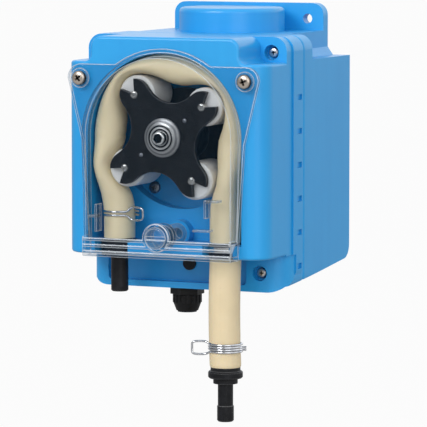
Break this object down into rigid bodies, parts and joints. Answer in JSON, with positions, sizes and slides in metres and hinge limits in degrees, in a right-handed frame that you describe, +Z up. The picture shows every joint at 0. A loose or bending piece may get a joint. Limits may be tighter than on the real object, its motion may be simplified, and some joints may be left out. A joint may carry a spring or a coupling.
{
  "type": "peristaltic dosing pump",
  "caption": "Wall-mounted peristaltic dosing pump with a clear front cover, a roller rotor, a looped pumping tube, hose fittings and a cable gland.",
  "frame": {"origin": "on the wall plane, midway between the two wall-screw holes in the ear plate", "axes": "+Z up, +Y into the wall, so the front faces -Y; +X to the right as seen from the front"},
  "size_m": [0.0914, 0.1016, 0.1693],
  "materials": {
    "blue_housing": "satin",
    "dark_gasket": "matt",
    "clear_plastic": "clear gloss",
    "bright_steel": "bright",
    "black_plastic": "satin",
    "white_roller": "satin",
    "beige_tube": "satin",
    "black_rubber": "matt",
    "green_board": "satin"
  },
  "bodies": {
    "housing": {"front_casing": "blue_housing", "rear_casing": "blue_housing", "casing_gasket": "dark_gasket", "casing_screw_1": "bright_steel", "casing_screw_2": "bright_steel", "casing_screw_3": "bright_steel", "casing_screw_4": "bright_steel", "clear_cover": "clear_plastic", "cover_screw_left": "bright_steel", "cover_screw_right": "bright_steel", "cover_washer_left": "clear_plastic", "cover_washer_right": "clear_plastic", "gearbox_case": "black_plastic", "motor_can": "bright_steel", "gearbox_screw_left": "bright_steel", "gearbox_screw_right": "bright_steel", "shaft_seal": "black_rubber", "circuit_board": "green_board", "terminal_block": "black_plastic", "pump_tube": "beige_tube", "outlet_fitting": "black_plastic", "outlet_clamp": "bright_steel", "inlet_connector": "black_plastic", "inlet_ring": "bright_steel", "inlet_hose": "beige_tube", "inlet_clamp": "bright_steel", "inlet_fitting": "black_plastic", "gland_body": "black_plastic", "gland_nut": "black_plastic", "gland_seal": "black_rubber", "gland_locknut": "black_plastic", "base_plug": "black_plastic"},
    "rotor": {"rotor_shaft": "bright_steel", "front_spider": "black_plastic", "rear_spider": "black_plastic", "rotor_cone": "bright_steel", "rotor_screw": "bright_steel", "roller_pin_1": "bright_steel", "roller_pin_2": "bright_steel", "roller_pin_3": "bright_steel", "roller_pin_4": "bright_steel"},
    "knob": {"cover_knob": "clear_plastic"},
    "roller_1": {"roller_1": "white_roller"},
    "roller_2": {"roller_2": "white_roller"},
    "roller_3": {"roller_3": "white_roller"},
    "roller_4": {"roller_4": "white_roller"}
  },
  "joints": [
    {"name": "rotor_spin", "type": "hinge", "parent": "housing", "child": "rotor", "pos_m": [0, -0.09, -0.046], "axis": [0, 1, 0], "continuous": true, "deforming": ["pump_tube"]},
    {"name": "roller_1_spin", "type": "hinge", "parent": "rotor", "child": "roller_1", "pos_m": [0.01732, -0.0811, -0.03309], "axis": [0, 1, 0], "continuous": true},
    {"name": "roller_2_spin", "type": "hinge", "parent": "rotor", "child": "roller_2", "pos_m": [-0.01291, -0.0811, -0.02868], "axis": [0, 1, 0], "continuous": true},
    {"name": "roller_3_spin", "type": "hinge", "parent": "rotor", "child": "roller_3", "pos_m": [-0.01732, -0.0811, -0.05891], "axis": [0, 1, 0], "continuous": true},
    {"name": "roller_4_spin", "type": "hinge", "parent": "rotor", "child": "roller_4", "pos_m": [0.01291, -0.0811, -0.06332], "axis": [0, 1, 0], "continuous": true},
    {"name": "knob_turn", "type": "hinge", "parent": "housing", "child": "knob", "pos_m": [0, -0.1, -0.0866], "axis": [0, 1, 0], "range_deg": [0, 90]}
  ],
  "couplings": [
    {"joint": "roller_1_spin", "follows": "rotor_spin", "ratio": -3.7342},
    {"joint": "roller_2_spin", "follows": "rotor_spin", "ratio": -3.7342},
    {"joint": "roller_3_spin", "follows": "rotor_spin", "ratio": -3.7342},
    {"joint": "roller_4_spin", "follows": "rotor_spin", "ratio": -3.7342}
  ]
}
